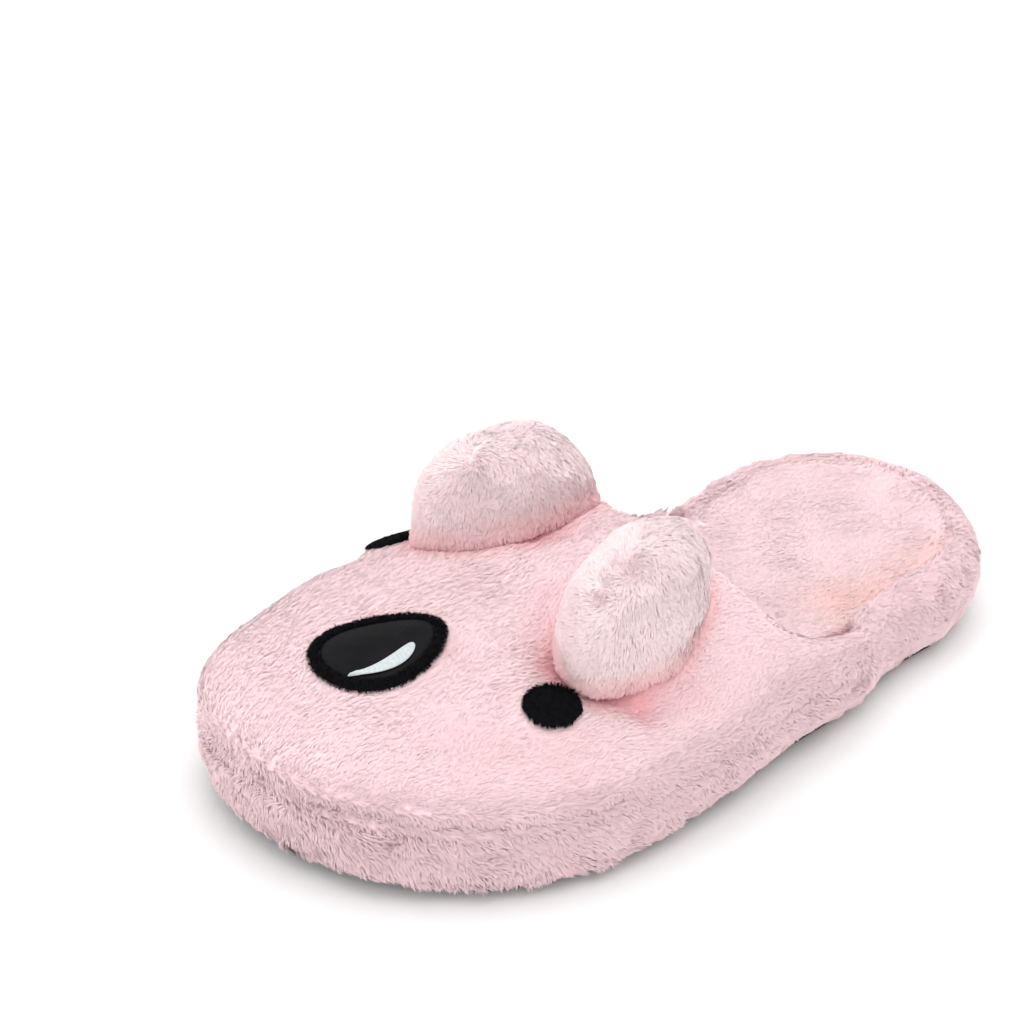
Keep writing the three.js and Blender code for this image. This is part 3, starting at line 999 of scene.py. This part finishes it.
@dataclass
class Slipper:
    """The whole slipper: covers and piles for what is plush, and finishes for the rest."""

    plush_height: float = 1.2 * MM
    footbed_height: float = 0.9 * MM
    ear_height: float = 1.5 * MM
    vamp_pile: Pile = Pile(hairs=98000, length=2.9 * MM, width=0.28 * MM, roll=0.22)
    band_pile: Pile = Pile(
        hairs=96000, length=2.9 * MM, width=0.3 * MM, root_lean=60, tip_lean=80, roll=0.22,
        tuft=3.4 * MM, gather=0.16, scatter=0.26, shade_spread=0.08,
    )
    footbed_pile: Pile = Pile(
        hairs=80000, length=2.2 * MM, width=0.24 * MM, root_lean=70, tip_lean=84, swing=3, roll=0.2,
        gather=0.08, scatter=0.2, shade_spread=0.05,
    )
    ear_pile: Pile = Pile(
        hairs=48000, length=2.8 * MM, width=0.26 * MM, root_lean=67, tip_lean=83, roll=0.2,
        tuft=4.0 * MM, gather=0.08, scatter=0.2, shade_spread=0.06,
    )
    stitch: Pile = Pile(
        hairs=9000, length=1.9 * MM, width=0.2 * MM, root_lean=66, tip_lean=80, roll=0.5,
        tuft=1.0 * MM, gather=0.2, scatter=0.45, shade_spread=0.12,
    )
    # Painted shade in the footbed's hollow by the lateral heel rim.
    hollow_shade: tuple[Trough, ...] = (Trough(((33, 60), (39, 82), (36, 104)), 12.0, 0.75),)
    # Painted crease shade below the lateral ear.
    ear_crease_shade: tuple[Trough, ...] = (Trough(((30, -51), (43, -47), (54, -38)), 4.5, 0.6),)
    creases: tuple[Trough, ...] = (
        Trough(((4, -35), (18, -46), (30, -51), (43, -47), (54, -38), (57, -20)), 5.5, 2.2),
        Trough(((-53, -30), (-44, -22), (-32, -21), (-20, -19), (-15, -10)), 5.0, 1.8),
        Trough(((-24, -78), (-8, -72), (8, -70)), 6.0, 1.2),
        Trough(((-2, -40), (-4, -62)), 9.0, -0.8),
        Trough(((30, -96), (44, -84), (56, -66)), 9.0, 1.0),
        Trough(((10, -112), (34, -104)), 7.0, -0.7),
        Trough(((14, -16), (10, -30)), 8.0, 0.9),
    )

    def outwards(self, points: Points, normals: Points) -> np.ndarray:
        """Tells the vamp's outer face from its lining.

        Args:
            points: Places on the vamp.
            normals: Its normals there.

        Returns:
            One on the outer face and on the lip, and near zero on the lining.
        """
        middle = np.stack([np.zeros(len(points)), np.clip(points[:, 1], *CORE)], 1)
        away = np.concatenate([points[:, :2] - middle, points[:, 2:] - CORE_HEIGHT], 1)
        facing = (unit(away) * normals).sum(1) + 0.25 * (normals[:, 1] > 0.5)
        return 0.2 + 0.8 * ease(facing, -0.2, 0.35)

    def vamp_density(self, points: Points, normals: Points) -> np.ndarray:
        """Full outside, less on the part of the lining that shows, and none deep inside."""
        inside = 1 - ease(self.outwards(points, normals), 0.3, 0.9)
        return (1 - inside) + inside * 0.6 * ease(points[:, 1], *IN_SIGHT)

    def vamp_length(self, points: Points, normals: Points) -> np.ndarray:
        """Longer on the vamp's lower part, and shorter on its lining."""
        low = 1 - ease(points[:, 2], *LOWER_PART)
        return 0.8 + 0.35 * low - 0.25 * (self.outwards(points, normals) < 0.6)

    def band_length(self, points: Points, normals: Points) -> np.ndarray:
        """Trims the band's hairs.

        Args:
            points: Places on the band.
            normals: Its normals there.

        Returns:
            Less than one on the rim, and along the bottom more at the toe and less behind it.
        """
        rim = ease(points[:, 1], *RIM_START) * ease(normals[:, 2], 0.2, 0.8)
        behind_toe = ease(points[:, 1], *TOE_END)
        bottom = 1 - ease(points[:, 2], *BOTTOM)
        return 1.0 - 0.3 * rim + (0.6 - 1.15 * behind_toe) * bottom

    def brushed(self, points: Points, normals: Points) -> Points:
        """Combs the vamp.

        Args:
            points: Places on the vamp.
            normals: Its normals there.

        Returns:
            Ways to the heel, and downwards where the vamp turns in to the band.
        """
        low = ease(-normals[:, 2:], -0.3, 0.25)
        way = (1 - low) * np.array([0.0, 1.0, 0.15]) + low * np.array([0.0, 0.45, -0.8])
        return way + 0.25 * Ripple(45 * MM, 11).swirl_at(points)

    def drooping(self, points: Points, normals: Points) -> Points:
        """To the heel and downwards, in quicker swirls that part into tufts."""
        return np.array([0.0, 0.6, -0.55]) + 0.3 * Ripple(18 * MM, 31).swirl_at(points)

    def swirled(self, points: Points, normals: Points) -> Points:
        """To the heel and a little down, with quicker swirls."""
        return np.array([0.0, 0.9, -0.2]) + 0.25 * Ripple(24 * MM, 21).swirl_at(points)

    def puffed(self, points: Points, normals: Points) -> Points:
        """All round down from the ear's crown in a whorl, with swirls."""
        whorl = np.cross(normals, (0.0, 0.0, 1.0))
        return np.array([-0.1, 0.5, -0.8]) + 0.5 * whorl + 0.2 * Ripple(26 * MM, 41).swirl_at(points)

    def build(self) -> None:
        """Builds all pieces."""
        pink, ear, lining = PINK_PLUSH.build(), EAR_PLUSH.build(), LINING_PLUSH.build()
        self.dress_vamp(pink)
        self.dress_band(pink)
        self.dress_footbed(lining)
        for node in ("ear_lateral", "ear_medial"):
            self.dress_ear(node, ear)
        self.dress_face()
        self.dress_sole()

    def dress_vamp(self, material: Material) -> None:
        """Makes the vamp's cover, creased along listed lines, and its pile.

        Args:
            material: Their material.
        """
        # The vamp gets painted crease shade beside the ears and along the line below the lateral ear.
        cover = Cover(
            "upper", ("midsole", "insole", "ear_lateral", "ear_medial", *FACE_NODES), "plush",
            1.8 * MM, self.plush_height, self.creases, self.ear_crease_shade, ("ear_lateral", "ear_medial"),
            wave=0.5 * MM, lumps=0.35 * MM, joined_to=("midsole",), puff=1.6 * MM, lined=self.outwards,
        )
        cover.build(material)
        cover.grow(
            "vamp_pile", self.vamp_pile, material, self.brushed, self.vamp_density,
            self.vamp_length,
            seed=101,
        )

    def dress_band(self, material: Material) -> None:
        """Makes the plush round the sole and its pile.

        Args:
            material: Their material.
        """
        cover = Cover(
            "midsole", ("upper", "insole", "outsole"), "plush", 1.8 * MM, self.plush_height,
            wave=0.35 * MM, lumps=0.5 * MM, joined_to=("upper", "insole"), puff=1.2 * MM,
        )
        cover.build(material)
        cover.grow(
            "band_pile", self.band_pile, material, self.drooping,
            lambda p, n: 1 - ease(-n[:, 2], 0.75, 0.95),
            self.band_length,
            seed=102,
        )

    def dress_footbed(self, material: Material) -> None:
        """Makes the plush footbed.

        Args:
            material: The material of its cover and pile.
        """
        # The hollow by the heel rim gets painted shade.
        cover = Cover(
            "insole", ("upper", "midsole"), "lining_plush", 1.8 * MM, self.footbed_height,
            shade_lines=self.hollow_shade, wave=0.25 * MM, joined_to=("midsole",), puff=1.4 * MM,
        )
        cover.build(material)
        cover.grow(
            "footbed_pile", self.footbed_pile, material, self.swirled,
            lambda p, n: ease(n[:, 2], 0.2, 0.6) * (0.12 + 0.88 * ease(p[:, 1], *IN_SIGHT)),
            even_length,
            seed=103,
        )

    def dress_ear(self, node: str, material: Material) -> None:
        """Makes a stuffed ear in long soft plush.

        Args:
            node: The ear's CAD node.
            material: The material of its cover and pile.
        """
        # The ear's foot beside the vamp gets painted crease shade.
        cover = Cover(
            node, ("upper",), "ear_plush", 1.6 * MM, self.ear_height,
            shaded_beside=("upper",), shade_reach=8 * MM, wave=0.6 * MM, lumps=0.4 * MM, fill=0.9,
        )
        cover.build(material)
        cover.grow(
            node + "_pile", self.ear_pile, material, self.puffed,
            lambda p, n: 1 - 0.8 * ease(-n[:, 2], 0.5, 0.9),
            even_length,
            seed=104 + len(node),
        )

    def dress_face(self) -> None:
        """The padded nose with its embroidered border and glint, and the embroidered eyes."""
        black, white = BLACK_THREAD.build(), WHITE_THREAD.build()
        self.sewn_piece("nose_patch", "nose_pad", NOSE_LEATHER.build())
        self.sewn_piece("nose_glint", "nose_shine", white)
        low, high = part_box("nose_border")
        centre = np.array((low + high) / 2)
        border = self.sewn_piece("nose_border", "nose_edge", black)
        self.embroider(
            border, "nose_edge_stitches", black, lambda p, n: spread_both_ways(p - centre), 1
        )
        for node, way in (("eye_lateral", (0.75, -0.55, 0.0)), ("eye_medial", (-0.5, -0.8, 0.0))):
            eye = self.sewn_piece(node, node + "_pad", black)
            slant = np.array(way)
            self.embroider(eye, node + "_stitches", black, lambda p, n, s=slant: s + 0 * p, 2)

    def sewn_piece(self, node: str, name: str, material: Material) -> bpy.types.Object:
        """A rounded copy of a small sewn-on solid.

        Args:
            node: The CAD node that it stands for.
            name: The piece's name.
            material: Its material.

        Returns:
            The piece.
        """
        mesh = modified(merged_copy(node), ("SUBSURF", {"levels": 2, "render_levels": 2}))
        surface = Surface.of(mesh)
        tone = 0.5 + 0.4 * Ripple(1.2 * MM, 7).at(surface.points)
        write_attribute(mesh, "hair_tone", np.clip(tone, 0, 1))
        write_attribute(mesh, "soft_normal", surface.normals)
        piece = place_object(name, mesh, material)
        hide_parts(node)
        return piece

    def embroider(
        self, piece: bpy.types.Object, name: str, material: Material, comb: Rule, seed: int
    ) -> None:
        """Lays threads over a sewn piece.

        Args:
            piece: The piece.
            name: The name of the threads.
            material: Their material.
            comb: The way that they lie at each place.
            seed: The seed of all draws.
        """
        surface = Surface.of(piece.data)
        rng = np.random.default_rng(seed)
        density = ease(surface.normals[:, 2], 0.0, 0.5)
        roots, normals, _ = scattered(surface, density, self.stitch.hairs, rng)
        ways = unit(comb(roots, normals))
        mesh = hairs(name, roots, normals, ways, np.ones(len(roots)), self.stitch, rng)
        place_object(name, mesh, material)

    def dress_sole(self) -> None:
        """The rubber outsole keeps its solid."""
        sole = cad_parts["outsole"]
        sole.data.materials.clear()
        sole.data.materials.append(SOLE_RUBBER.build())


def even_length(points: Points, normals: Points) -> np.ndarray:
    """The full length everywhere."""
    return np.ones(len(points))


def spread_both_ways(ways: Points) -> Points:
    """Every other way turned round, so that threads reach over both edges of a border."""
    return ways * np.where(np.arange(len(ways)) % 2, 1, -1)[:, None]


def report(piece: bpy.types.Object) -> None:
    """Logs a piece and the size of its mesh.

    Args:
        piece: The piece.
    """
    low, high = (np.array(corner) for corner in (piece.bound_box[0], piece.bound_box[6]))
    size = " x ".join(f"{value / MM:.0f}" for value in high - low)
    log.info("%s: %d faces, %s mm", piece.name, len(piece.data.polygons), size)


@dataclass(frozen=True)
class PhotoCamera:
    """The camera that took the photograph, as fitted to its square frame.

    Angles are degrees. The focal length counts pixels of the frame, and the shifts move the
    camera in its own plane.
    """

    azimuth: float = 52.296
    elevation: float = 32.562
    roll: float = 1.104
    distance: float = 873.64 * MM
    focal: float = 2800.0
    frame_width: float = 1024.0
    side_shift: float = -34.472 * MM
    up_shift: float = 57.635 * MM

    def build(self) -> None:
        """Makes the scene's camera."""
        a, e, r = (math.radians(v) for v in (self.azimuth, self.elevation, self.roll))
        back = Vector((math.sin(a) * math.cos(e), -math.cos(a) * math.cos(e), math.sin(e)))
        level = Vector((math.cos(a), math.sin(a), 0.0))
        upright = back.cross(level)
        right = math.cos(r) * level + math.sin(r) * upright
        up = math.cos(r) * upright - math.sin(r) * level
        data = bpy.data.cameras.new("photo_camera")
        data.sensor_width = 36.0
        data.lens = self.focal * data.sensor_width / self.frame_width
        data.clip_start, data.clip_end = 0.05, 20.0
        camera = bpy.data.objects.new("photo_camera", data)
        bpy.context.scene.collection.objects.link(camera)
        turn = Matrix((right, up, back)).transposed()
        place = back * self.distance + right * self.side_shift + up * self.up_shift
        camera.matrix_world = Matrix.Translation(place) @ turn.to_4x4()
        bpy.context.scene.camera = camera


@dataclass(frozen=True)
class Studio:
    """A pale floor and soft light, as in a product photograph."""

    floor_size: float = 6.0
    floor_colour: tuple[float, float, float] = (0.85, 0.85, 0.85)
    sky: float = 0.82
    lamp_distance: float = 1.3
    lamps: tuple[tuple[Side, float, float], ...] = (
        (Side.ABOVE, 60.0, 1.45),
        (Side.TOE, 70.0, 0.8),
        (Side.LATERAL, 70.0, 0.7),
    )

    def build(self) -> None:
        """Makes the floor, the sky and the lamps."""
        self.build_floor()
        world = bpy.data.worlds.new("studio")
        world.use_nodes = True
        world.node_tree.nodes["Background"].inputs["Color"].default_value = (1, 1, 1, 1)
        world.node_tree.nodes["Background"].inputs["Strength"].default_value = self.sky
        bpy.context.scene.world = world
        bpy.context.scene.view_settings.view_transform = "Standard"
        for side, spread, strength in self.lamps:
            self.build_lamp(side, spread, strength)

    def build_floor(self) -> None:
        """A wide matt sheet under the slipper."""
        form = bmesh.new()
        bmesh.ops.create_grid(form, x_segments=1, y_segments=1, size=self.floor_size / 2)
        mesh = bpy.data.meshes.new("floor")
        form.to_mesh(mesh)
        form.free()
        material, _, shader = plain_material("floor_paper")
        shader.inputs["Base Color"].default_value = (*self.floor_colour, 1)
        shader.inputs["Roughness"].default_value = 0.9
        shader.inputs["Specular IOR Level"].default_value = 0.1
        mesh.materials.append(material)
        floor = bpy.data.objects.new("floor", mesh)
        bpy.context.scene.collection.objects.link(floor)

    def build_lamp(self, side: Side, spread: float, strength: float) -> None:
        """Makes a wide even light.

        Args:
            side: Where it comes from.
            spread: How wide it is, in degrees.
            strength: How strong it is.
        """
        data = bpy.data.lights.new(f"lamp_{side.name.lower()}", "SUN")
        data.angle = math.radians(spread)
        data.energy = strength
        lamp = bpy.data.objects.new(data.name, data)
        bpy.context.scene.collection.objects.link(lamp)
        way = Vector(side.value).normalized()
        turn = way.to_track_quat("Z", "Y").to_matrix().to_4x4()
        lamp.matrix_world = Matrix.Translation(way * self.lamp_distance) @ turn


def main() -> None:
    """Builds the camera, the slipper and the studio."""
    logging.basicConfig(level=logging.INFO, format="%(name)s: %(message)s")
    PhotoCamera().build()
    Slipper().build()
    Studio().build()


if __name__ == "__main__":
    main()
